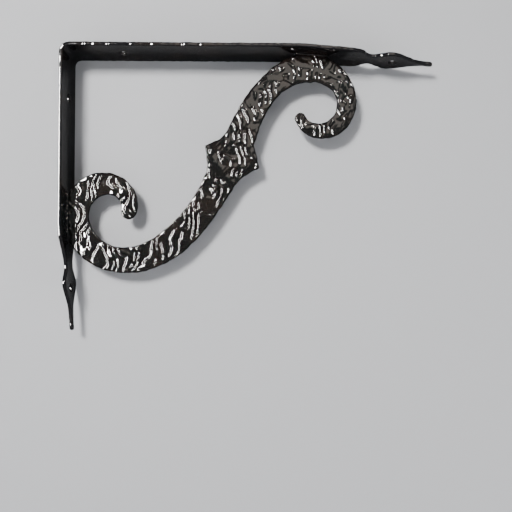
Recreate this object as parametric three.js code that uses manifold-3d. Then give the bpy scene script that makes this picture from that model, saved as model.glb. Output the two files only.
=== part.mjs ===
// Wrought iron shelf bracket: an L of flat bar whose ends are forged to spear finials,
// braced by an S scroll cut from plate, with a barb on each side of the scroll's middle.
// Millimetres. +X runs out from the wall, +Z up, and Y across the bar. The origin is on the
// wall leg's flat back, midway between its two screw holes.
// Outlines are worked out in two flat coordinates: out from the wall, and down from the shelf.

import * as THREE from "three";
import { mergeVertices } from "three/addons/utils/BufferGeometryUtils.js";
import Module from "manifold-3d";

// Bar
const BAR_WIDTH = 22;
const BAR_THICKNESS = 2;
const BEND_RADIUS = 5; // outside of the bend at the corner
const SCREW_HOLE = 4.4; // diameter

// Shelf leg, across the top. A finial's places are measured back from its tip.
const SHELF_LEG = {
  length: 203,
  cornerHole: 31.3, // from the corner
  eyeHole: 22.5, // back from the tip
  kickLength: 73, // the last stretch, which leans in towards the scroll
  kickAngle: 4.7, // degrees
  shoulder: { back: 50, width: BAR_WIDTH },
  slope: { back: 41.5, width: 19.8 },
  neck: { back: 35, width: 9.6 },
  bulb: { back: 23.8, width: 18.9 },
  finger: { back: 9.6, width: 4.9 },
  tipWidth: 2.6,
};

// Wall leg, down the wall
const WALL_LEG = {
  length: 154,
  cornerHole: 26.8,
  eyeHole: 23,
  kickLength: 57.5,
  kickAngle: 3.7,
  shoulder: { back: 50.5, width: BAR_WIDTH },
  slope: { back: 45.5, width: 16.8 },
  neck: { back: 34.7, width: 8.8 },
  bulb: { back: 25, width: 17.6 },
  finger: { back: 13, width: 4.7 },
  tipWidth: 2.2,
};

// Scroll. Each arm is listed in equal steps from the scroll's middle to the arm's end. Its bends
// say how many degrees the centreline turns over one step at the rate it has at each step's ends.
const PLATE_THICKNESS = 3;
const EDGE_BEVEL = 0.5;
const MIDDLE_HEADING = 117.1; // degrees that the wall arm's start is turned down from straight out
const WALL_ARM = {
  length: 175.9,
  bends: [-1.5, 12.3, 27.2, 55.1, 70.5, 108.2, 151.5],
  halfWidths: [9.3, 7.85, 7.9, 6.95, 6.95, 6.6, 4.2],
};
const SHELF_ARM = {
  length: 138.5,
  bends: [-19.8, 15.6, 27.6, 59.4, 69, 87.7, 122.2],
  halfWidths: [9.3, 7.5, 6.8, 8.05, 5.65, 4.9, 3],
};

// Barbs on the scroll's upper and lower edge. Places run along the scroll from its middle,
// positive down the wall arm; hollow is the power that its flank falls away with.
const UPPER_BARB = {
  tip: 1.8,
  height: 7,
  shelfSide: { reach: 12.5, hollow: 1.5 },
  wallSide: { reach: 13.5, hollow: 1.45 },
};
const LOWER_BARB = {
  tip: -0.6,
  height: 6.8,
  shelfSide: { reach: 9, hollow: 1 },
  wallSide: { reach: 15, hollow: 1.9 },
};

// Fits
const WELD_GAP = 0.3; // between the scroll and the bar that it is welded to
const WALL_SEAT = 2.5; // how much of each curl's round back is cut flat where it meets its leg
const SHELF_SEAT = 1;

// Fineness of the facets
const SCROLL_STEP = 2.2;
const BARB_STEP = 0.9;
const FINIAL_STEPS = 44;
const ROUND_STEPS = 8;
const HOLE_SIDES = 24;
const SPARE = 10; // how far a cutting shape runs past what it cuts
const SEATING_PASSES = 4; // rounds of moving the scroll against both legs
const SAME_POINT = 1e-4; // corners closer than this are one

const wasm = await Module();
wasm.setup();

const black = (roughness) =>
  new THREE.MeshStandardMaterial({ color: 0x101012, roughness, metalness: 0 });

// Solids

function solid(geometry) {
  const bare = geometry.clone();
  bare.deleteAttribute("normal");
  bare.deleteAttribute("uv");
  const merged = mergeVertices(bare, SAME_POINT);
  return new wasm.Manifold(
    new wasm.Mesh({
      numProp: 3,
      vertProperties: new Float32Array(merged.attributes.position.array),
      triVerts: new Uint32Array(merged.index.array),
    }),
  );
}

function geometryOf(body) {
  const { vertProperties, triVerts } = body.getMesh();
  const geometry = new THREE.BufferGeometry();
  geometry.setAttribute("position", new THREE.BufferAttribute(vertProperties, 3));
  geometry.setIndex(new THREE.BufferAttribute(triVerts, 1));
  geometry.computeVertexNormals();
  return geometry;
}

// A flat outline in (out, down) made a plate of the given thickness, centred across the bar.
function upright(shape, thickness, bevel = 0) {
  const geometry = new THREE.ExtrudeGeometry(shape, {
    depth: thickness - 2 * bevel,
    bevelEnabled: bevel > 0,
    bevelThickness: bevel,
    bevelSize: bevel,
    bevelOffset: -bevel,
    bevelSegments: 1,
  });
  return geometry.translate(0, 0, bevel - thickness / 2).rotateX(Math.PI / 2);
}

function outline(points) {
  return new THREE.Shape(points.map(([out, down]) => new THREE.Vector2(out, -down)));
}

// Bar

const radians = THREE.MathUtils.degToRad;

// How far a leg's outer face has leaned in, at a distance from the corner.
function lean(leg, distance) {
  const past = Math.max(0, distance - (leg.length - leg.kickLength));
  return past * Math.tan(radians(leg.kickAngle));
}

// A leg's face at a depth under its outer face: where it kicks, and a place past its tip.
function legLine(leg, depth) {
  const angle = radians(leg.kickAngle);
  const kick = leg.length - leg.kickLength;
  const run = leg.kickLength + SPARE;
  const [cos, sin] = [Math.cos(angle), Math.sin(angle)];
  return [
    [kick - depth * Math.tan(angle / 2), depth],
    [kick + run * cos - depth * sin, run * sin + depth * cos],
  ];
}

// The whole L's line at a depth under its outer face, from the wall leg's end to the shelf leg's.
function barLine(depth) {
  const radius = Math.max(BEND_RADIUS - depth, WELD_GAP);
  const centre = depth + radius;
  const bend = [];
  for (let i = 0; i <= ROUND_STEPS; i++) {
    const turn = (Math.PI / 2) * (i / ROUND_STEPS);
    bend.push([centre - radius * Math.cos(turn), centre - radius * Math.sin(turn)]);
  }
  const down = legLine(WALL_LEG, depth).map(([distance, lift]) => [lift, distance]);
  return [...down.reverse(), ...bend, ...legLine(SHELF_LEG, depth)];
}

// A leg's outline seen on its broad face: (distance from the corner, across).
function finialShape(leg) {
  const radius = leg.tipWidth / 2;
  const centre = new THREE.Vector2(leg.length - radius, 0);
  const bends = [leg.shoulder, leg.slope, leg.neck, leg.bulb, leg.finger].map(
    ({ back, width }) => new THREE.Vector2(leg.length - back, width / 2),
  );
  const tipStart = new THREE.Vector2(centre.x, radius);
  const edge = new THREE.SplineCurve([...bends, tipStart]).getPoints(FINIAL_STEPS);
  const tip = [];
  for (let i = 1; i < ROUND_STEPS; i++) {
    const turn = Math.PI * (0.5 - i / ROUND_STEPS);
    tip.push(new THREE.Vector2(Math.cos(turn), Math.sin(turn)).multiplyScalar(radius).add(centre));
  }
  const upper = [new THREE.Vector2(-SPARE, BAR_WIDTH / 2), ...edge];
  const lower = upper.map((p) => new THREE.Vector2(p.x, -p.y)).reverse();
  return new THREE.Shape([...upper, ...tip, ...lower]);
}

// Leg coordinates are (distance from the corner, across, depth under the outer face).
const onShelfLeg = (geometry) => geometry.rotateX(Math.PI);
const onWallLeg = (geometry) => geometry.rotateY(Math.PI / 2);

function finialSolid(leg, place) {
  const depth = lean(leg, leg.length) + BAR_THICKNESS + 2 * SPARE;
  const prism = new THREE.ExtrudeGeometry(finialShape(leg), { depth, bevelEnabled: false });
  return solid(place(prism.translate(0, 0, -SPARE)));
}

function holeSolid(leg, distance, place) {
  const radius = SCREW_HOLE / 2;
  const drill = new THREE.CylinderGeometry(radius, radius, BAR_THICKNESS + SPARE, HOLE_SIDES);
  drill.rotateX(Math.PI / 2);
  if (distance > leg.length - leg.kickLength) drill.rotateY(-radians(leg.kickAngle));
  return solid(place(drill.translate(distance, 0, lean(leg, distance) + BAR_THICKNESS / 2)));
}

function makeStrap() {
  const side = outline([...barLine(0), ...barLine(BAR_THICKNESS).reverse()]);
  let bar = solid(upright(side, BAR_WIDTH + SPARE));
  bar = bar.intersect(finialSolid(SHELF_LEG, onShelfLeg).add(finialSolid(WALL_LEG, onWallLeg)));
  for (const [leg, place] of [
    [SHELF_LEG, onShelfLeg],
    [WALL_LEG, onWallLeg],
  ]) {
    bar = bar.subtract(holeSolid(leg, leg.cornerHole, place));
    bar = bar.subtract(holeSolid(leg, leg.length - leg.eyeHole, place));
  }
  return bar;
}

// Scroll

// A value that is listed at equal steps along an arm, at a share of the arm's length.
function along(list, share) {
  const place = share * (list.length - 1);
  const step = Math.min(Math.floor(place), list.length - 2);
  return THREE.MathUtils.lerp(list[step], list[step + 1], place - step);
}

// How far a barb stands out from the edge, at a place along the scroll.
function barbHeight(barb, place) {
  const flank = place < barb.tip ? barb.shelfSide : barb.wallSide;
  const fall = Math.abs(place - barb.tip) / flank.reach;
  return fall < 1 ? barb.height * (1 - fall) ** flank.hollow : 0;
}

const barbEnd = Math.max(
  ...[UPPER_BARB, LOWER_BARB].flatMap(({ tip, shelfSide, wallSide }) => [
    shelfSide.reach - tip,
    wallSide.reach + tip,
  ]),
);

// One arm's stations from the middle to its end; sign is +1 on the wall arm and -1 on the shelf arm.
function armStations(arm, sign) {
  const stations = [];
  let heading = radians(MIDDLE_HEADING) + (sign < 0 ? Math.PI : 0);
  let [out, down] = [0, 0];
  let place = 0;
  while (place < arm.length) {
    const half = along(arm.halfWidths, place / arm.length);
    stations.push({ out, down, heading, place: sign * place, half });
    const step = Math.min(place < barbEnd ? BARB_STEP : SCROLL_STEP, arm.length - place);
    const steps = (step / arm.length) * (arm.bends.length - 1);
    const turn = radians(along(arm.bends, (place + step / 2) / arm.length) * steps);
    out += step * Math.cos(heading + turn / 2);
    down += step * Math.sin(heading + turn / 2);
    heading += turn;
    place += step;
  }
  stations.push({ out, down, heading, place: sign * arm.length, half: arm.halfWidths.at(-1) });
  return stations;
}

// The scroll's edge on one side of the centreline (+1 towards the corner, -1 away from it).
function edgePoint({ out, down, heading, place, half }, sign, side) {
  const barb = side > 0 ? UPPER_BARB : LOWER_BARB;
  const reach = sign * side * (half + barbHeight(barb, place));
  return [out - reach * Math.sin(heading), down + reach * Math.cos(heading)];
}

function roundEnd({ out, down, heading, half }) {
  const points = [];
  for (let i = 1; i < ROUND_STEPS; i++) {
    const turn = heading + Math.PI * (0.5 - i / ROUND_STEPS);
    points.push([out + half * Math.cos(turn), down + half * Math.sin(turn)]);
  }
  return points;
}

function scrollOutline() {
  const wall = armStations(WALL_ARM, 1);
  const shelf = armStations(SHELF_ARM, -1);
  const edge = (side) => [
    ...shelf.slice(1).reverse().map((s) => edgePoint(s, -1, side)),
    ...wall.map((s) => edgePoint(s, 1, side)),
  ];
  return [...edge(1), ...roundEnd(wall.at(-1)), ...edge(-1).reverse(), ...roundEnd(shelf.at(-1))];
}

// Moves the outline until each curl reaches its seat's depth past the inner face of its leg.
function seated(points) {
  const past = (leg, distance, depth) => BAR_THICKNESS + lean(leg, distance) - depth;
  let placed = points;
  for (let pass = 0; pass < SEATING_PASSES; pass++) {
    const wallReach = Math.max(...placed.map(([out, down]) => past(WALL_LEG, down, out)));
    const shelfReach = Math.max(...placed.map(([out, down]) => past(SHELF_LEG, out, down)));
    placed = placed.map(([out, down]) => [out + wallReach - WALL_SEAT, down + shelfReach - SHELF_SEAT]);
  }
  return placed;
}

function makeScroll() {
  const plate = solid(upright(outline(seated(scrollOutline())), PLATE_THICKNESS, EDGE_BEVEL));
  const outside = [
    [SHELF_LEG.length + SPARE, -SPARE],
    [-SPARE, -SPARE],
    [-SPARE, WALL_LEG.length + SPARE],
  ];
  const keepOut = outline([...barLine(BAR_THICKNESS + WELD_GAP), ...outside]);
  return plate.subtract(solid(upright(keepOut, BAR_WIDTH)));
}

// Bracket

const bracket = new THREE.Group();
bracket.position.z = (WALL_LEG.cornerHole + WALL_LEG.length - WALL_LEG.eyeHole) / 2;

const strap = new THREE.Mesh(geometryOf(makeStrap()), black(0.3));
strap.name = "strap";
bracket.add(strap);

const scroll = new THREE.Mesh(geometryOf(makeScroll()), black(0.25));
scroll.name = "scroll";
bracket.add(scroll);

export default bracket;
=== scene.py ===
"""A wrought iron shelf bracket: its forged strap, its hammered S scroll, its welds and the stage.

The plain solids come from the frame. Each piece here takes its outline from its solid, fills it
with a fine sheet on both faces, rounds its edges and hammers it.
"""

import math

import bpy
import numpy as np
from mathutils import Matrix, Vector
from mathutils.geometry import delaunay_2d_cdt


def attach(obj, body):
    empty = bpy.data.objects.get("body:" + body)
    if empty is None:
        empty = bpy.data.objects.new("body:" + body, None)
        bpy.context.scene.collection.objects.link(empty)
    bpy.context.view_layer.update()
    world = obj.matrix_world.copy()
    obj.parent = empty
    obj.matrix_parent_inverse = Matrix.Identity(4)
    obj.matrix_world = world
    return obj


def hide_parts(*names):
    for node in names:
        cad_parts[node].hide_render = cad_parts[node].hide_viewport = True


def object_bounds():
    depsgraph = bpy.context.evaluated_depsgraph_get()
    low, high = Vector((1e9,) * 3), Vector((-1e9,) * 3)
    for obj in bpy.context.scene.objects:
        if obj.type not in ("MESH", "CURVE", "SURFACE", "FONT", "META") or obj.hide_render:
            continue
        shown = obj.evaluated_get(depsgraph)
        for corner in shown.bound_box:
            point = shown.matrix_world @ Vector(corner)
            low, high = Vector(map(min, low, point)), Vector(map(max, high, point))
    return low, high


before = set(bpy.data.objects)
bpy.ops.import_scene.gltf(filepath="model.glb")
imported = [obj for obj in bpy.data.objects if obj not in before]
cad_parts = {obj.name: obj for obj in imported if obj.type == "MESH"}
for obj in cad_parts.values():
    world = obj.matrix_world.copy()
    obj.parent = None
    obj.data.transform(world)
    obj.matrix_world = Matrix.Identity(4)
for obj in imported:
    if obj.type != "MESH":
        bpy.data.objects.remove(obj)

CAD_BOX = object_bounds()

bl_info = {
    "name": "Wrought Iron Shelf Bracket",
    "version": (1, 0, 0),
    "blender": (4, 5, 0),
    "location": "3D View > Sidebar > Bracket",
    "description": "Hammered strap, scroll and welds of a shelf bracket, and its studio stage",
    "category": "Object",
}

MM = 0.001  # the settings are in metres, but outlines and the forging's named sizes in millimetres
SHARP = math.radians(28)  # a corner of an outline that turns more than this stays sharp
ALL_ROUND = math.radians(180)  # no corner stays sharp
LONGEST_RUN = 2.5  # between an outline's points, before it is smoothed
SQUARE_ON = 0.999  # least part of a normal along an axis, on a face square to that axis


# Sizes and colours that a user would change

def length(name, description, default):
    return bpy.props.FloatProperty(
        name=name, description=description, default=default, min=0.0, unit="LENGTH", precision=5
    )


def share(name, description, default):
    return bpy.props.FloatProperty(
        name=name, description=description, default=default, min=0.0, max=1.0, subtype="FACTOR"
    )


def colour(name, description, default):
    return bpy.props.FloatVectorProperty(
        name=name, description=description, default=default, size=3, min=0.0, max=1.0,
        subtype="COLOR",
    )


class BracketStrapSettings(bpy.types.PropertyGroup):
    edge_radius: length("Edge radius", "Rounding of the bar's long edges", 0.55 * MM)
    facet: length("Facet", "Spacing of the mesh on the broad faces", 0.6 * MM)
    rim_facet: length("Rim facet", "Spacing of the mesh along the edges", 0.5 * MM)
    edge_wave: length("Edge wave", "How far the hammered edges wander", 0.1 * MM)
    edge_beat: length("Edge beat", "Distance between hammer marks along the edges", 4.5 * MM)
    ripple: length("Ripple", "Height of the ripples on the broad faces", 0.03 * MM)
    ripple_beat: length("Ripple beat", "Distance between ripples", 7.0 * MM)
    tint: colour("Enamel", "Colour of the bar's enamel", (0.004, 0.004, 0.005))
    roughness: share("Roughness", "Roughness of the bar's enamel", 0.1)


class BracketScrollSettings(bpy.types.PropertyGroup):
    edge_radius: length("Edge radius", "Rounding of the plate's edges", 0.6 * MM)
    facet: length("Facet", "Spacing of the mesh on the faces", 0.37 * MM)
    rim_facet: length("Rim facet", "Spacing of the mesh along the edges", 0.4 * MM)
    edge_wave: length("Edge wave", "How far the cut edges wander", 0.14 * MM)
    edge_beat: length("Edge beat", "Distance between bumps along the edges", 5.0 * MM)
    relief: length("Relief", "Height of the hammered ridges", 0.42 * MM)
    ridge: length("Ridge", "Distance from one ridge to the next", 4.0 * MM)
    tint: colour("Enamel", "Colour of the scroll's enamel", (0.004, 0.0036, 0.0032))
    roughness: share("Roughness", "Roughness of the scroll's enamel", 0.045)


class BracketWeldSettings(bpy.types.PropertyGroup):
    radius: length("Radius", "Half the weld bead's width", 0.85 * MM)
    lump: length("Lump", "Distance between the bead's lumps", 2.6 * MM)
    drop: length("Drop", "Radius of a common drop of weld spatter", 0.33 * MM)
    drops: bpy.props.IntProperty(
        name="Drops", description="Drops of spatter round each weld", default=34, min=0, max=400,
    )


class BracketStageSettings(bpy.types.PropertyGroup):
    distance: length("Camera distance", "From the camera to the backdrop", 300.4 * MM)
    out: length("Camera out", "How far out from the wall the camera stands", 99.9 * MM)
    down: length("Camera down", "How far the camera stands below the shelf's face", 120.8 * MM)
    aim_out: length("Aim out", "How far further out the camera looks", 5.02 * MM)
    aim_up: length("Aim up", "How far above its own height the camera looks", 7.41 * MM)
    lens: bpy.props.FloatProperty(
        name="Lens", description="Focal length in millimetres on a 36 mm sensor", default=37.05
    )
    floor_drop: length("Floor drop", "From the bracket's lowest point down to the floor", 135 * MM)
    paper: colour("Paper", "Colour of the floor and the backdrop", (0.50, 0.51, 0.53))


# Flat outlines, in millimetres

def solid_of(node):
    """A frame solid's corners in millimetres and its triangles, with equal corners joined."""
    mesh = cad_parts[node].data
    mesh.calc_loop_triangles()
    corners = np.empty(len(mesh.vertices) * 3)
    mesh.vertices.foreach_get("co", corners)
    triangles = np.empty(len(mesh.loop_triangles) * 3, dtype=np.int32)
    mesh.loop_triangles.foreach_get("vertices", triangles)
    corners, index = np.unique(
        np.round(corners.reshape(-1, 3) / MM, 3), axis=0, return_inverse=True
    )
    triangles = index.reshape(-1)[triangles].reshape(-1, 3)
    real = (triangles != np.roll(triangles, 1, axis=1)).all(1)
    return corners, triangles[real]


def face_normals(corners, triangles):
    a, b, c = (corners[triangles[:, i]] for i in range(3))
    return unit(np.cross(b - a, c - a))


def rims(triangles):
    """The closed rings of corners round a patch of triangles, longest first."""
    edges = {(int(t[i]), int(t[(i + 1) % 3])) for t in triangles for i in range(3)}
    onward = {a: b for a, b in edges if (b, a) not in edges}
    rings = []
    while onward:
        start, here = onward.popitem()
        ring = [start]
        while here != start:
            ring.append(here)
            here = onward.pop(here)
        rings.append(ring)
    return sorted(rings, key=len, reverse=True)


def unit(vectors, least=1e-9):
    return vectors / np.maximum(np.linalg.norm(vectors, axis=-1, keepdims=True), least)


def split_long(ring, longest):
    """The same outline with no straight run longer than the longest."""
    points = []
    for here, onward in zip(ring, np.roll(ring, -1, axis=0)):
        steps = max(1, math.ceil(np.linalg.norm(onward - here) / longest))
        points += [here + (onward - here) * i / steps for i in range(steps)]
    return np.array(points)


def soft_ring(ring, spacing, corner):
    """A closed outline run through its points as a smooth curve, with its sharp corners kept."""
    ring = split_long(ring, LONGEST_RUN)
    before = ring - np.roll(ring, 1, axis=0)
    after = np.roll(ring, -1, axis=0) - ring
    turn = np.arccos(np.clip((unit(before) * unit(after)).sum(1), -1, 1))
    slope = unit(before + after)
    sharp = (turn > corner)[:, None]
    leave = np.where(sharp, unit(after), slope)
    arrive = np.where(sharp, unit(before), slope)
    points = []
    for i in range(len(ring)):
        j = (i + 1) % len(ring)
        reach = np.linalg.norm(ring[j] - ring[i])
        steps = max(1, round(reach / spacing))
        t = (np.arange(steps) / steps)[:, None]
        points.append(
            (2 * t**3 - 3 * t**2 + 1) * ring[i]
            + (t**3 - 2 * t**2 + t) * reach * leave[i]
            + (3 * t**2 - 2 * t**3) * ring[j]
            + (t**3 - t**2) * reach * arrive[j]
        )
    return np.vstack(points)


def inward(ring):
    """Each outline point's direction into the metal, which lies left of the outline's run."""
    run = unit(np.roll(ring, -1, axis=0) - np.roll(ring, 1, axis=0))
    return np.column_stack([-run[:, 1], run[:, 0]])


def signed_area(ring):
    x, y = ring.T
    return 0.5 * float((x * np.roll(y, -1) - np.roll(x, -1) * y).sum())


def turned(ring, sign):
    """The outline, run the way round that gives its area this sign."""
    return ring if signed_area(ring) * sign > 0 else ring[::-1]


def measure(points, rings, batch=1000, tiny=1e-12):
    """How far each point is from the outline, and whether it is in the metal."""
    start = np.vstack(rings)
    end = np.vstack([np.roll(ring, -1, axis=0) for ring in rings])
    run = end - start
    size = np.maximum((run**2).sum(1), tiny)
    rise = np.where(np.abs(run[:, 1]) < tiny, tiny, run[:, 1])
    away = np.empty(len(points))
    inside = np.empty(len(points), dtype=bool)
    for first in range(0, len(points), batch):
        x, y = (points[first:first + batch, i, None] for i in range(2))
        u, v = x - start[:, 0], y - start[:, 1]
        t = np.clip((u * run[:, 0] + v * run[:, 1]) / size, 0, 1)
        gap = (u - t * run[:, 0]) ** 2 + (v - t * run[:, 1]) ** 2
        away[first:first + batch] = np.sqrt(gap.min(1))
        spans = (start[:, 1] > y) != (end[:, 1] > y)
        left = x < start[:, 0] + v / rise * run[:, 0]
        inside[first:first + batch] = (spans & left).sum(1) % 2 == 1
    return away, inside


# Hammering

RIDGE_CELLS = 9  # grid cells from one ridge to the next
RIDGE_SPACING = 1.8  # how strictly the ridges keep their distance
RIDGE_UPRIGHT = 0.38  # how strictly they run upright
RIDGE_SHARPEN = 1.8  # how much steeper they grow in each round
RIDGE_BEND, RIDGE_BEND_BEAT = 2.0, 15.0  # how far they are bent out of line, and over what run
RIDGE_FULL = 1.6  # standard deviations above the mean at which a ridge's height is 1


def ripples(points, beat, seed, waves=26, shortest=0.7, longest=1.6):
    """A smooth random height, mostly between -1 and 1, whose bumps are a beat apart."""
    draw = np.random.default_rng(seed)
    height = np.zeros(len(points))
    for _ in range(waves):
        angle = draw.uniform(0, 2 * math.pi)
        pitch = 2 * math.pi / (beat * draw.uniform(shortest, longest))
        phase = draw.uniform(0, 2 * math.pi)
        across = points[:, 0] * math.cos(angle) + points[:, 1] * math.sin(angle)
        height += np.cos(pitch * across + phase)
    return height / math.sqrt(waves)


def smooth(value):
    """A value held between 0 and 1, easing in and out at both ends."""
    value = np.clip(value, 0, 1)
    return value * value * (3 - 2 * value)


def bark(points, beat, seed, rounds=9):
    """Narrow worm-like ridges, from -1 to 1, that run mostly upright and join into curved runs.

    They grow out of random noise: each round sharpens it, then keeps the waves a beat long.
    """
    cell = beat / RIDGE_CELLS
    margin = 3 * beat
    low = points.min(0) - margin
    size = np.ceil((points.max(0) + margin - low) / cell).astype(int)
    field = np.random.default_rng(seed).normal(size=size)
    across, up = (2 * math.pi * np.fft.fftfreq(n, cell) for n in size)
    total = np.maximum(across[:, None] ** 2 + up[None] ** 2, 1e-9)
    waves = total * (beat / (2 * math.pi)) ** 2
    upright = RIDGE_UPRIGHT * up[None] ** 2 / total
    keep = 1 / (1 + RIDGE_SPACING * (1 - waves) ** 2 + upright)
    for _ in range(rounds):
        field = np.fft.ifft2(np.fft.fft2(np.tanh(RIDGE_SHARPEN * field)) * keep).real
    bend = np.column_stack([ripples(points, RIDGE_BEND_BEAT, seed + i) for i in (2, 3)])
    value = sample(field, (points + RIDGE_BEND * bend - low) / cell)
    return np.tanh(value / value.std()) / math.tanh(RIDGE_FULL)


def sample(field, places):
    """A grid's value between its cells, by smooth cubic steps."""
    whole = np.floor(places).astype(int)
    part = places - whole
    weights = [
        np.stack([
            0.5 * (-t + 2 * t**2 - t**3), 0.5 * (2 - 5 * t**2 + 3 * t**3),
            0.5 * (t + 4 * t**2 - 3 * t**3), 0.5 * (t**3 - t**2),
        ])
        for t in part.T
    ]
    value = np.zeros(len(places))
    for i in range(4):
        for j in range(4):
            cells = field[whole[:, 0] + i - 1, whole[:, 1] + j - 1]
            value += weights[0][i] * weights[1][j] * cells
    return value


# Plates

class Plate:
    """A flat piece with rounded edges: a fine sheet on each face, sewn together round its rims."""

    BAND_ANGLES = (18, 36, 54, 72, 90)  # degrees round the edge, one row of points for each
    BAND_ROOM = 0.9  # a band's point nearer than this share of its depth to another rim goes
    JOIN = 1e-7  # points nearer than this would be one

    def __init__(self, rings, thickness, radius, facet):
        self.rings = rings
        self.thickness = thickness
        self.radius = radius
        outline = np.vstack(rings)
        points = [outline, *self.edge_bands(), self.grid(facet)]
        seams = []
        first = 0
        for ring in rings:
            count = len(ring)
            seams += [(first + i, first + (i + 1) % count) for i in range(count)]
            first += count
        points = np.vstack(points)
        found, _, faces, *_ = delaunay_2d_cdt(points.tolist(), seams, [], 1, self.JOIN, False)
        if len(found) != len(points):
            raise RuntimeError("the outline crosses itself, so its sheet can't be filled")
        faces = np.array(faces)
        faces = faces[measure(points[faces].mean(1), rings)[1]]
        a, b, c = (points[faces[:, i]] for i in range(3))
        flip = (b - a)[:, 0] * (c - a)[:, 1] < (b - a)[:, 1] * (c - a)[:, 0]
        faces[flip] = faces[flip][:, ::-1]
        self.points = points
        self.faces = faces
        self.away = measure(points, rings)[0]
        self.away[:len(outline)] = 0

    def edge_bands(self):
        """Points on the rounded band that follows each rim."""
        bands = []
        for angle in np.radians(self.BAND_ANGLES):
            depth = self.radius * (1 - math.cos(angle))
            for ring in self.rings:
                band = ring + inward(ring) * depth
                away, inside = measure(band, self.rings)
                bands.append(band[inside & (away > self.BAND_ROOM * depth)])
        return bands

    def grid(self, facet):
        """Points in equal triangles on the flat of the face."""
        low, high = self.rings[0].min(0), self.rings[0].max(0)
        rows = np.arange(low[1], high[1], facet * math.sqrt(3) / 2)
        columns = np.arange(low[0], high[0], facet)
        grid = np.stack(np.meshgrid(columns, rows), axis=-1)
        grid[1::2, :, 0] += facet / 2
        grid = grid.reshape(-1, 2)
        away, inside = measure(grid, self.rings)
        return grid[inside & (away > self.radius + facet / 2)]

    def crown(self):
        """Half the plate's thickness over each point, rounded down towards the rims."""
        down = np.clip(self.radius - self.away, 0, self.radius)
        return self.thickness / 2 - self.radius + np.sqrt(self.radius**2 - down**2)

    def sew(self, top, bottom, rows=4):
        """All corners as (along, across, height) and all triangles, given both faces' heights."""
        count = len(self.points)
        corners = [np.column_stack([self.points, top]), np.column_stack([self.points, bottom])]
        triangles = [self.faces, self.faces[:, ::-1] + count]
        first = 0
        total = 2 * count
        for ring in self.rings:
            size = len(ring)
            here = np.arange(size)
            onto = np.roll(here, -1)
            lines = [first + here]
            for row in range(1, rows):
                t = row / rows
                height = top[first:first + size] * (1 - t) + bottom[first:first + size] * t
                corners.append(np.column_stack([ring, height]))
                lines.append(total + here)
                total += size
            lines.append(count + first + here)
            for upper, lower in zip(lines[:-1], lines[1:]):
                triangles.append(np.column_stack([upper, lower, lower[onto]]))
                triangles.append(np.column_stack([upper, lower[onto], upper[onto]]))
            first += size
        return np.vstack(corners), np.vstack(triangles)


def make_piece(name, corners, triangles, material):
    """A smooth mesh object from corners in millimetres."""
    mesh = bpy.data.meshes.new(name)
    mesh.from_pydata((corners * MM).tolist(), [], triangles.tolist())
    mesh.polygons.foreach_set("use_smooth", [True] * len(mesh.polygons))
    mesh.materials.append(material)
    mesh.update()
    piece = bpy.data.objects.new(name, mesh)
    bpy.context.scene.collection.objects.link(piece)
    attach(piece, "root")
    return piece


# Strap

OUTWARD = 0.5  # least lean of a normal away from the scroll, on the bar's outer face
SIDEWAYS = 0.3  # most lean of that normal across the bar
SKIN = 0.3  # a corner less deep than this is on the outer face
STRAP_MARGIN = 1.5  # from the rim to where the ripples have their full height
CALM_EDGE, ROUGH_EDGE = 0.4, 1.4  # share of the edge wave everywhere, and more on the shelf leg
ROUGH_BEFORE, ROUGH_RUN = 5, 20  # how far before the corner that sets in, and over what length
STRAP_EDGE_SEED, OUTER_SEED, INNER_SEED = 11, 21, 22


class StrapPath:
    """The line of the bar's outer face, from the wall leg's tip to the shelf leg's."""

    STEP = 0.25

    def __init__(self, corners, soften=1.2):
        line = np.unique(np.round(corners[:, [0, 2]], 2), axis=0)
        line = line[np.argsort(line.sum(1))]
        places = np.concatenate([[0], np.cumsum(np.linalg.norm(np.diff(line, axis=0), axis=1))])
        self.length = places[-1]
        self.places = np.linspace(0, self.length, int(self.length / self.STEP))
        self.line = np.column_stack([np.interp(self.places, places, line[:, i]) for i in range(2)])
        run = np.diff(self.line, axis=0)
        angles = np.arctan2(run[:, 1], run[:, 0])
        reach = int(3 * soften / self.STEP)
        weights = np.exp(-0.5 * (np.arange(-reach, reach + 1) * self.STEP / soften) ** 2)
        padded = np.pad(angles, reach, mode="edge")
        angles = np.convolve(padded, weights / weights.sum(), mode="valid")
        self.angles = np.interp(
            self.places, (self.places[1:] + self.places[:-1]) / 2, angles
        )
        step = self.places[1] - self.places[0]
        steps = np.column_stack([np.cos(angles), np.sin(angles)]) * step
        bent = np.vstack([[0, 0], np.cumsum(steps, axis=0)])
        self.bent = bent + (self.line - bent).mean(0)

    def place_of(self, points):
        """How far along the bar each (out, up) point is, and how deep below the outer face."""
        gaps = ((points[:, None, :] - self.line[None]) ** 2).sum(2)
        near = gaps.argmin(1)
        run = np.column_stack([np.cos(self.angles[near]), np.sin(self.angles[near])])
        offset = points - self.line[near]
        return self.places[near] + (offset * run).sum(1), np.sqrt(gaps.min(1))

    def bend(self, sheet):
        """A flat sheet's (along, across, height) bent to the bar, with height 0 on its outer face."""
        out = np.interp(sheet[:, 0], self.places, self.bent[:, 0])
        up = np.interp(sheet[:, 0], self.places, self.bent[:, 1])
        angle = np.interp(sheet[:, 0], self.places, self.angles)
        return np.column_stack([
            out - np.sin(angle) * sheet[:, 2], sheet[:, 1], up + np.cos(angle) * sheet[:, 2]
        ])


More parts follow.
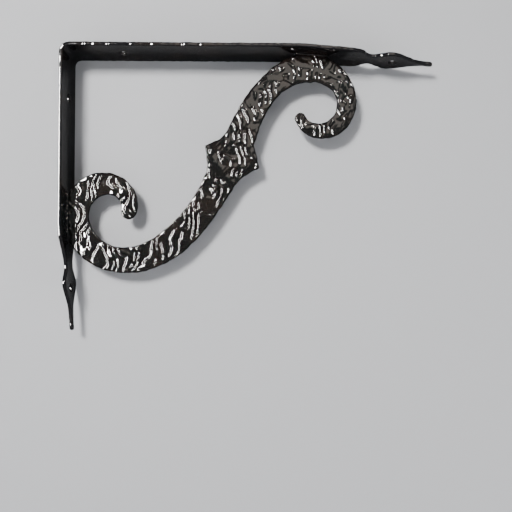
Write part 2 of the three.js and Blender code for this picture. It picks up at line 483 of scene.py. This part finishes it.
def strap_outlines():
    """The outlines of the bar's outer face and of its holes, its path and its thickness."""
    corners, triangles = solid_of("strap")
    normals = face_normals(corners, triangles)
    outer = (normals[:, 2] - normals[:, 0] > OUTWARD) & (np.abs(normals[:, 1]) < SIDEWAYS)
    path = StrapPath(corners[rims(triangles[outer])[0]])
    _, deep = path.place_of(corners[:, [0, 2]])
    outer = (deep[triangles] < SKIN).all(1)
    rings = [corners[ring] for ring in rims(triangles[outer])]
    wall_side = corners[triangles[normals[:, 0] < -SQUARE_ON], 0]
    room_side = corners[triangles[normals[:, 0] > SQUARE_ON], 0]
    return rings, path, float(room_side.max() - wall_side.min())


def waved(ring, height, beat, seed):
    """The outline wandering in and out of line by up to a height, as a hammered edge does."""
    return ring + inward(ring) * (height * ripples(ring, beat, seed))[:, None]


def add_strap(settings):
    """The bar with its holes, made and rippled as a flat sheet and then bent to its solid's line."""
    rings, path, thickness = strap_outlines()
    corner_place = path.places[np.abs(path.angles - math.pi / 4).argmin()]
    flat = []
    for number, ring in enumerate(rings):
        along, _ = path.place_of(ring[:, [0, 2]])
        ring = turned(np.column_stack([along, ring[:, 1]]), 1 if number == 0 else -1)
        ring = soft_ring(ring, settings.rim_facet / MM, ALL_ROUND)
        rough = CALM_EDGE
        if number == 0:
            shelf_leg = smooth((ring[:, 0] - corner_place + ROUGH_BEFORE) / ROUGH_RUN)
            rough = CALM_EDGE + ROUGH_EDGE * shelf_leg
        wave = settings.edge_wave / MM * rough
        flat.append(waved(ring, wave, settings.edge_beat / MM, STRAP_EDGE_SEED + number))
    plate = Plate(flat, thickness, settings.edge_radius / MM, settings.facet / MM)
    crown = plate.crown()
    settle = np.clip(plate.away / STRAP_MARGIN, 0, 1)
    ripple = settings.ripple / MM
    beat = settings.ripple_beat / MM
    outer = crown + settle * ripple * ripples(plate.points, beat, OUTER_SEED)
    inner = -crown - settle * ripple * ripples(plate.points, beat, INNER_SEED)
    corners, triangles = plate.sew(outer, inner, 2)
    corners[:, 2] -= thickness / 2
    piece = make_piece(
        "hammered_strap", path.bend(corners), triangles,
        enamel("Strap enamel", settings.tint, settings.roughness),
    )
    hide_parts("strap")


# Scroll

FRONT_FACE, BEVELS = 0.49, 0.3  # how far forward their corners lie, in thicknesses of the plate
SEAT_NEAR, SEAT_BLEND = 0.9, 0.5  # gap under which the outline moves to the bar, and its easing
SEAT_BITE = 0.15  # how far the scroll's flats enter the bar
SCROLL_MARGIN = 0.9  # from the rim to where the hammering has its full height
RIDGE_FOOT = 0.1  # share of a ridge's height that is lost in the level ground
GROUND = 0.25  # how far the ground lies under the plate's face, as a share of the relief
MEAN_DEPTH, DEPTH_SWING, DEPTH_BEAT = 0.8, 0.75, 8.0  # how the relief comes and goes
SWELL, SWELL_BEAT = 0.06, 5.5  # low bumps under the ridges
FALL, FALL_RUN = 0.22, 2.4  # how far the faces fall towards the rim, and from where
SCROLL_EDGE_SEED, FACE_SEEDS = 31, (41, 42)


def scroll_outline():
    """The outline of the scroll's face as (out, up), and the plate's thickness."""
    corners, triangles = solid_of("scroll")
    normals = face_normals(corners, triangles)
    thickness = float(np.ptp(corners[:, 1]))
    hindmost = corners[triangles, 1].max(1)
    front = (normals[:, 1] < -SQUARE_ON) & (hindmost < -FRONT_FACE * thickness)
    bevels = ~front & (hindmost < -BEVELS * thickness)
    ring = corners[rims(triangles[front | bevels])[0]]
    return turned(ring[:, [0, 2]], 1), thickness


def seated(ring, path, thickness):
    """The outline with its cut flats run on until they just enter the bar."""
    _, deep = path.place_of(ring)
    gap = deep - thickness
    weight = np.clip((SEAT_NEAR - gap) / SEAT_BLEND, 0, 1)
    near = ((ring[:, None, :] - path.line[None]) ** 2).sum(2).argmin(1)
    angle = path.angles[near]
    outward = np.column_stack([-np.sin(angle), np.cos(angle)])
    return ring + outward * (weight * (gap + SEAT_BITE))[:, None]


def hammered_face(plate, settings, seed):
    """One face's height over the plate's middle: a soft fall to the rim under bark-like ridges."""
    ridges = bark(plate.points, settings.ridge / MM, seed)
    ridges = np.clip((ridges - RIDGE_FOOT) / (1 - RIDGE_FOOT), 0, None)
    swell = SWELL * ripples(plate.points, SWELL_BEAT, seed + 10)
    depth = smooth(MEAN_DEPTH + DEPTH_SWING * ripples(plate.points, DEPTH_BEAT, seed + 20))
    fall = FALL * np.clip(1 - plate.away / FALL_RUN, 0, 1) ** 2
    settle = np.clip(plate.away / SCROLL_MARGIN, 0, 1)
    relief = settings.relief / MM * depth * (ridges - GROUND)
    return plate.crown() - fall + settle * (relief + swell)


def add_scroll(settings):
    """The S plate, seated on both legs of the bar and hammered on both faces."""
    _, path, bar_thick = strap_outlines()
    outline, thickness = scroll_outline()
    ring = soft_ring(outline, settings.rim_facet / MM, SHARP)
    ring = waved(ring, settings.edge_wave / MM, settings.edge_beat / MM, SCROLL_EDGE_SEED)
    ring = seated(ring, path, bar_thick)
    plate = Plate([ring], thickness, settings.edge_radius / MM, settings.facet / MM)
    front, back = (hammered_face(plate, settings, seed) for seed in FACE_SEEDS)
    corners, triangles = plate.sew(front, -back)
    corners = np.column_stack([corners[:, 0], -corners[:, 2], corners[:, 1]])
    piece = make_piece(
        "hammered_scroll", corners, triangles,
        enamel("Scroll enamel", settings.tint, settings.roughness),
    )
    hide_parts("scroll")


# Welds

WELDED = 0.6  # a stretch of the scroll's edge nearer to the bar than this is welded to it
SEATS_APART = 10  # the two welded stretches lie further apart along the bar than this
SEAT_STEP = 0.5  # between the points by which the welded stretches are found
BEAD_STEP, BEAD_PAST = 0.3, 0.8  # between a bead's points, and how far it runs past its seat
BEAD_LUMPS = 0.24  # height of the lumps, as a share of the bead's radius
BEAD_THINNEST = 0.02  # part of the bead's full section that is left at its ends
BEAD_TIP = 0.3  # how far each end is drawn out to a point
BEAD_SEED, SPATTER_SEED = 51, 61
DROP_RISE, DROP_SINK = 0.8, 0.1  # a drop's height, and how deep it sits, in its radii
DROP_LEVELS = (0.35, 0.7, 1.0)  # its rings' radii, from the top down
DROP_SIZES = (0.5, 1.3)  # smallest and largest, in common drops
SPATTER_ALONG = 7  # how far past the seat drops land, along the bar
SPATTER_FROM, SPATTER_ACROSS = 0.6, 6.5  # and across it, from the plate's face on
SPATTER_CROWDING = 1.5  # above 1, more of them land near the plate


def weld_bead(line, radius, lump, seed, sides=10):
    """A lumpy bead round a line of points, closed at both ends."""
    places = np.concatenate([[0], np.cumsum(np.linalg.norm(np.diff(line, axis=0), axis=1))])
    run = unit(np.gradient(line, axis=0))
    across = unit(np.cross(run, [0.0, 1.0, 0.0]))
    up = np.cross(across, run)
    share_along = places / places[-1]
    taper = np.sqrt(np.clip(1 - (2 * share_along - 1) ** 4, BEAD_THINNEST, 1))
    lumps = ripples(np.column_stack([places, places * 0]), lump, seed)
    size = radius * taper * (1 + BEAD_LUMPS * lumps)
    angles = np.linspace(0, 2 * math.pi, sides, endpoint=False)
    rings = [
        line + size[:, None] * (across * math.cos(a) + up * math.sin(a)) for a in angles
    ]
    corners = np.stack(rings, axis=1).reshape(-1, 3)
    triangles = []
    for i in range(len(line) - 1):
        for j in range(sides):
            a, b = i * sides + j, i * sides + (j + 1) % sides
            triangles += [(a, b, b + sides), (a, b + sides, a + sides)]
    last = (len(line) - 1) * sides
    corners = np.vstack([corners, line[0] - run[0] * BEAD_TIP, line[-1] + run[-1] * BEAD_TIP])
    for j in range(sides):
        onto = (j + 1) % sides
        triangles.append((onto, j, len(corners) - 2))
        triangles.append((last + j, last + onto, len(corners) - 1))
    return corners, np.array(triangles)


def weld_drop(size, sides=8):
    """A half round drop of spatter, standing on height 0 and closed only above it."""
    corners = [(0.0, 0.0, DROP_RISE)]
    for level in DROP_LEVELS:
        height = DROP_RISE * math.sqrt(1 - level**2) - DROP_SINK
        for angle in np.linspace(0, 2 * math.pi, sides, endpoint=False):
            corners.append((level * math.cos(angle), level * math.sin(angle), height))
    triangles = [(0, 1 + j, 1 + (j + 1) % sides) for j in range(sides)]
    for ring in (1, 1 + sides):
        for j in range(sides):
            a, b = ring + j, ring + (j + 1) % sides
            triangles += [(a, a + sides, b + sides), (a, b + sides, b)]
    return np.array(corners) * size, np.array(triangles)


def add_welds(settings):
    """A bead on each side of the plate at both seats, with drops of spatter round them."""
    _, path, bar_thick = strap_outlines()
    outline, thickness = scroll_outline()
    place, deep = path.place_of(soft_ring(outline, SEAT_STEP, SHARP))
    touching = np.sort(place[deep < bar_thick + WELDED])
    breaks = np.flatnonzero(np.diff(touching) > SEATS_APART) + 1
    draw = np.random.default_rng(SPATTER_SEED)
    corners, triangles = [], []
    count = 0
    for number, seat in enumerate(np.split(touching, breaks)):
        for side in (-1, 1):
            along = np.arange(seat[0] - BEAD_PAST, seat[-1] + BEAD_PAST, BEAD_STEP)
            line = path.bend(np.column_stack([
                along, np.full_like(along, side * thickness / 2), np.full_like(along, -bar_thick)
            ]))
            bead, faces = weld_bead(
                line, settings.radius / MM, settings.lump / MM, BEAD_SEED + 2 * number + side
            )
            corners.append(bead)
            triangles.append(faces + count)
            count += len(bead)
        for _ in range(settings.drops):
            drop, faces = weld_drop(settings.drop / MM * draw.uniform(*DROP_SIZES))
            along = draw.uniform(seat[0] - SPATTER_ALONG, seat[-1] + SPATTER_ALONG)
            side = draw.choice((-1, 1))
            beyond = SPATTER_FROM + SPATTER_ACROSS * draw.uniform() ** SPATTER_CROWDING
            across = side * (thickness / 2 + beyond)
            drop = path.bend(np.column_stack([
                drop[:, 0] + along, drop[:, 1] + across, -drop[:, 2] - bar_thick
            ]))
            corners.append(drop)
            triangles.append(faces[:, ::-1] + count)
            count += len(drop)
    scroll = bpy.context.scene.bracket_scroll
    make_piece(
        "weld_beads", np.vstack(corners), np.vstack(triangles),
        enamel("Weld enamel", scroll.tint, scroll.roughness),
    )


# Finishes

WARM_FROM, WARM_FULL = 0.5, 0.78  # cloud heights at which the warm tint sets in and is full; the tint is random tone and also painted warm reflection
CLOUD_ROUGH = 0.12  # how much rougher the densest clouds are than the thinnest
DUST_FROM, DUST_FULL, DUST_ROUGH = 0.66, 0.74, 0.2  # where dust sets in and is full, and how rough
PEEL_STRENGTH, PEEL_HEIGHT = 0.08, 0.05 * MM
ENAMEL_GLOSS = {"IOR": 1.6, "Coat Weight": 0.5, "Coat Roughness": 0.03}
PAPER_FINISH = {"Roughness": 0.9, "Specular IOR Level": 0.1}
PAPER_DIMMED = 0.8  # how much of the paper's light is kept out of the enamel's reflections


def new_node(tree, kind, place, **values):
    """A node at a place in the editor, with its inputs set by name."""
    node = tree.nodes.new(kind)
    node.location = place
    for name, value in values.items():
        node.inputs[name.replace("_", " ")].default_value = value
    return node


def math_node(tree, operation, place, *values):
    """A math node whose inputs are numbers or other nodes' outputs, and gives its output."""
    node = new_node(tree, "ShaderNodeMath", place)
    node.operation = operation
    for socket, value in zip(node.inputs, values):
        if isinstance(value, bpy.types.NodeSocket):
            tree.links.new(value, socket)
        else:
            socket.default_value = value
    return node.outputs[0]


def new_material(name, tint, finish):
    """A material of one colour, with the inputs of its shader that a finish sets."""
    material = bpy.data.materials.new(name)
    material.use_nodes = True
    shader = material.node_tree.nodes["Principled BSDF"]
    shader.inputs["Base Color"].default_value = (*tint, 1)
    for socket, value in finish.items():
        shader.inputs[socket].default_value = value
    return material, material.node_tree, shader


def skin_group():
    """Brushed and baked enamel: cloudy roughness, orange peel, a little dust, and a cloudy warm
    colour that is random tone and also painted warm reflection.
    """
    known = bpy.data.node_groups.get("Enamel skin")
    if known:
        return known
    group = bpy.data.node_groups.new("Enamel skin", "ShaderNodeTree")
    for name, kind, default in (
        ("Enamel", "NodeSocketColor", (0.01, 0.01, 0.01, 1)),
        ("Warm", "NodeSocketColor", (0.016, 0.010, 0.007, 1)),
        ("Roughness", "NodeSocketFloat", 0.22),
        ("Cloud size", "NodeSocketFloat", 70.0),
        ("Peel size", "NodeSocketFloat", 900.0),
    ):
        socket = group.interface.new_socket(name=name, in_out="INPUT", socket_type=kind)
        socket.default_value = default
    for name, kind in (
        ("Color", "NodeSocketColor"), ("Roughness", "NodeSocketFloat"),
        ("Height", "NodeSocketFloat"),
    ):
        group.interface.new_socket(name=name, in_out="OUTPUT", socket_type=kind)
    link = group.links.new
    given = new_node(group, "NodeGroupInput", (-900, 100))
    result = new_node(group, "NodeGroupOutput", (400, 100))
    place = new_node(group, "ShaderNodeTexCoord", (-900, -200))
    cloud = new_node(group, "ShaderNodeTexNoise", (-600, 200), Detail=5.0, Roughness=0.6)
    peel = new_node(group, "ShaderNodeTexNoise", (-600, -100), Detail=2.0, Roughness=0.5)
    dust = new_node(group, "ShaderNodeTexNoise", (-600, -400), Scale=2600.0, Detail=1.0)
    for noise in (cloud, peel, dust):
        link(place.outputs["Object"], noise.inputs["Vector"])
    link(given.outputs["Cloud size"], cloud.inputs["Scale"])
    link(given.outputs["Peel size"], peel.inputs["Scale"])

    # Random tone and painted warm reflection: where the clouds are dense the enamel turns warm brown.
    warmth = new_node(
        group, "ShaderNodeMapRange", (-350, 350), From_Min=WARM_FROM, From_Max=WARM_FULL
    )
    link(cloud.outputs["Fac"], warmth.inputs["Value"])
    tinted = new_node(group, "ShaderNodeMix", (-100, 350))
    tinted.data_type = "RGBA"
    link(warmth.outputs["Result"], tinted.inputs["Factor"])
    link(given.outputs["Enamel"], tinted.inputs["A"])
    link(given.outputs["Warm"], tinted.inputs["B"])
    link(tinted.outputs["Result"], result.inputs["Color"])

    specks = new_node(
        group, "ShaderNodeMapRange", (-350, -400),
        From_Min=DUST_FROM, From_Max=DUST_FULL, To_Max=DUST_ROUGH,
    )
    link(dust.outputs["Fac"], specks.inputs["Value"])
    rough = math_node(
        group, "MULTIPLY_ADD", (-100, 0),
        cloud.outputs["Fac"], CLOUD_ROUGH, specks.outputs["Result"],
    )
    rough = math_node(group, "ADD", (50, 0), rough, given.outputs["Roughness"])
    rough = math_node(group, "SUBTRACT", (200, 0), rough, CLOUD_ROUGH / 2)
    rough.node.use_clamp = True
    link(rough, result.inputs["Roughness"])
    link(peel.outputs["Fac"], result.inputs["Height"])
    return group


def enamel(name, tint, roughness):
    """Black gloss enamel on forged iron."""
    material, tree, shader = new_material(name, tint, ENAMEL_GLOSS)
    link = tree.links.new
    skin = new_node(tree, "ShaderNodeGroup", (-500, 300))
    skin.node_tree = skin_group()
    skin.inputs["Enamel"].default_value = (*tint, 1)
    skin.inputs["Roughness"].default_value = roughness
    peel = new_node(
        tree, "ShaderNodeBump", (-250, 0), Strength=PEEL_STRENGTH, Distance=PEEL_HEIGHT
    )
    link(skin.outputs["Color"], shader.inputs["Base Color"])
    link(skin.outputs["Roughness"], shader.inputs["Roughness"])
    link(skin.outputs["Height"], peel.inputs["Height"])
    link(peel.outputs["Normal"], shader.inputs["Normal"])
    return material


def paper(name, tint, clear):
    """Pale paper, seen from its front only and never in a light's way; in the enamel's reflections it
    shows mostly black, a painted shade.

    Where clear, it is also gone for a view that has come through paper from behind.
    """
    material, tree, shader = new_material(name, tint, PAPER_FINISH)
    link = tree.links.new
    path = new_node(tree, "ShaderNodeLightPath", (-600, -100))
    # Painted shade in reflections: mirrored rays see the paper mostly black, so the enamel reflects
    # darkness instead of pale paper.
    black = new_node(tree, "ShaderNodeEmission", (50, -400), Strength=0.0)
    mirrored = new_node(tree, "ShaderNodeMixShader", (300, 0))
    dimmed = math_node(tree, "MULTIPLY", (-300, -100), path.outputs["Is Glossy Ray"], PAPER_DIMMED)
    link(dimmed, mirrored.inputs["Fac"])
    link(shader.outputs["BSDF"], mirrored.inputs[1])
    link(black.outputs["Emission"], mirrored.inputs[2])

    gone_where = new_node(tree, "ShaderNodeNewGeometry", (-600, 400)).outputs["Backfacing"]
    for ray in ("Is Shadow Ray", "Transparent Depth") if clear else ("Is Shadow Ray",):
        gone_where = math_node(tree, "MAXIMUM", (-300, 300), gone_where, path.outputs[ray])
    gone = new_node(tree, "ShaderNodeBsdfTransparent", (300, -200))
    choice = new_node(tree, "ShaderNodeMixShader", (550, 0))
    link(gone_where, choice.inputs["Fac"])
    link(mirrored.outputs["Shader"], choice.inputs[1])
    link(gone.outputs["BSDF"], choice.inputs[2])
    link(choice.outputs["Shader"], tree.nodes["Material Output"].inputs["Surface"])
    return material


# Stage

LEFT, RIGHT, TOP, FRONT = -1.5, 1.7, 1.4, -1.6  # how far the sheets of paper reach, in metres
BACKDROP_GAP = 0.3 * MM  # behind the bracket
DAYLIGHT, LAMPLIGHT, WARM_LIGHT = (1.0, 0.98, 0.96), (1.0, 0.93, 0.86), (1.0, 0.9, 0.82)
ROOM_COLOUR, ROOM_STRENGTH = (0.93, 0.96, 1.0, 1), 0.18
SENSOR = 36  # millimetres across


def add_sheet(name, corners, material):
    """One flat sheet of the stage."""
    mesh = bpy.data.meshes.new(name)
    mesh.from_pydata(corners, [], [(0, 1, 2, 3)])
    mesh.materials.append(material)
    sheet = bpy.data.objects.new(name, mesh)
    bpy.context.scene.collection.objects.link(sheet)


def add_light(name, heading, distance, size, radiance, tint=(1, 1, 1)):
    """A soft light that faces the bracket from a heading, as wide, tall and bright as given."""
    light = bpy.data.lights.new(name, "AREA")
    light.shape = "RECTANGLE"
    light.size, light.size_y = size
    light.energy = radiance * math.pi * size[0] * size[1]
    light.color = tint
    lamp = bpy.data.objects.new(name, light)
    centre = Vector([(low + high) / 2 for low, high in zip(*CAD_BOX)])
    heading = Vector(heading).normalized()
    lamp.location = centre + heading * distance
    lamp.rotation_euler = heading.to_track_quat("Z", "Y").to_euler()
    bpy.context.scene.collection.objects.link(lamp)
    return lamp


def add_stage(settings):
    """Paper behind and below the bracket, its lights and the camera.

    The key lights and shades but isn't mirrored, and the strip and the glint are only mirrored.
    """
    low, high = (Vector(corner) for corner in CAD_BOX)
    back = high.y + BACKDROP_GAP
    floor = low.z - settings.floor_drop
    foot = [(LEFT, back, floor), (RIGHT, back, floor)]
    add_sheet(
        "backdrop", [*foot, (RIGHT, back, TOP), (LEFT, back, TOP)],
        paper("Backdrop paper", settings.paper, True),
    )
    add_sheet(
        "floor", [(LEFT, FRONT, floor), (RIGHT, FRONT, floor), *reversed(foot)],
        paper("Floor paper", settings.paper, False),
    )
    key = add_light("key", (-0.4, -1.0, 0.39), 0.8, (0.16, 0.16), 125.0, DAYLIGHT)
    key.visible_glossy = False
    strip = add_light("strip", (-0.55, -1.0, 0.14), 2.4, (0.1, 1.3), 290.0, DAYLIGHT)
    strip.visible_diffuse = False
    glint = add_light("glint", (0.5, -1.0, 0.8), 2.4, (0.13, 0.13), 190.0, LAMPLIGHT)
    glint.visible_diffuse = False
    add_light("ceiling", (0.12, -1.0, 0.5), 1.0, (0.42, 0.42), 1.2, WARM_LIGHT)
    add_light("back", (-0.3, 1.0, 0.5), 1.2, (0.4, 0.3), 24.0)
    add_light("rim", (0.9, -0.45, -0.6), 0.6, (0.15, 0.15), 16.0)

    world = bpy.data.worlds.new("Soft room")
    world.use_nodes = True
    air = world.node_tree.nodes["Background"]
    air.inputs["Color"].default_value = ROOM_COLOUR
    air.inputs["Strength"].default_value = ROOM_STRENGTH
    bpy.context.scene.world = world

    lens = bpy.data.cameras.new("camera")
    lens.sensor_width = SENSOR
    lens.lens = settings.lens
    lens.clip_start = 0.01
    camera = bpy.data.objects.new("camera", lens)
    camera.location = (settings.out, back - settings.distance, high.z - settings.down)
    view = Vector((settings.aim_out, settings.distance, settings.aim_up))
    camera.rotation_euler = view.to_track_quat("-Z", "Y").to_euler()
    bpy.context.scene.collection.objects.link(camera)
    bpy.context.scene.camera = camera


# Operators and panel

class BRACKET_OT_strap(bpy.types.Operator):
    """Add the forged strap with its spear ends and screw holes"""

    bl_idname = "bracket.strap"
    bl_label = "Add strap"

    def execute(self, context):
        add_strap(context.scene.bracket_strap)
        return {"FINISHED"}


class BRACKET_OT_scroll(bpy.types.Operator):
    """Add the hammered S scroll"""

    bl_idname = "bracket.scroll"
    bl_label = "Add scroll"

    def execute(self, context):
        add_scroll(context.scene.bracket_scroll)
        return {"FINISHED"}


class BRACKET_OT_welds(bpy.types.Operator):
    """Add the weld beads where the scroll meets the strap"""

    bl_idname = "bracket.welds"
    bl_label = "Add welds"

    def execute(self, context):
        add_welds(context.scene.bracket_weld)
        return {"FINISHED"}


class BRACKET_OT_stage(bpy.types.Operator):
    """Add the backdrop, the floor, the lights and the camera"""

    bl_idname = "bracket.stage"
    bl_label = "Add stage"

    def execute(self, context):
        add_stage(context.scene.bracket_stage)
        return {"FINISHED"}


STEPS = (
    ("bracket_strap", BracketStrapSettings, BRACKET_OT_strap),
    ("bracket_scroll", BracketScrollSettings, BRACKET_OT_scroll),
    ("bracket_weld", BracketWeldSettings, BRACKET_OT_welds),
    ("bracket_stage", BracketStageSettings, BRACKET_OT_stage),
)


class BRACKET_PT_steps(bpy.types.Panel):
    """The bracket's sizes, colours and steps"""

    bl_idname = "BRACKET_PT_steps"
    bl_label = "Shelf bracket"
    bl_space_type = "VIEW_3D"
    bl_region_type = "UI"
    bl_category = "Bracket"

    def draw(self, context):
        for place, settings, operator in STEPS:
            box = self.layout.box()
            box.operator(operator.bl_idname)
            for name in settings.__annotations__:
                box.prop(getattr(context.scene, place), name)


def register():
    for place, settings, operator in STEPS:
        bpy.utils.register_class(settings)
        bpy.utils.register_class(operator)
        setattr(bpy.types.Scene, place, bpy.props.PointerProperty(type=settings))
    bpy.utils.register_class(BRACKET_PT_steps)


def unregister():
    bpy.utils.unregister_class(BRACKET_PT_steps)
    for place, settings, operator in reversed(STEPS):
        delattr(bpy.types.Scene, place)
        bpy.utils.unregister_class(operator)
        bpy.utils.unregister_class(settings)


def main():
    register()
    bpy.ops.bracket.strap()
    bpy.ops.bracket.scroll()
    bpy.ops.bracket.welds()
    bpy.ops.bracket.stage()


if __name__ == "__main__":
    main()
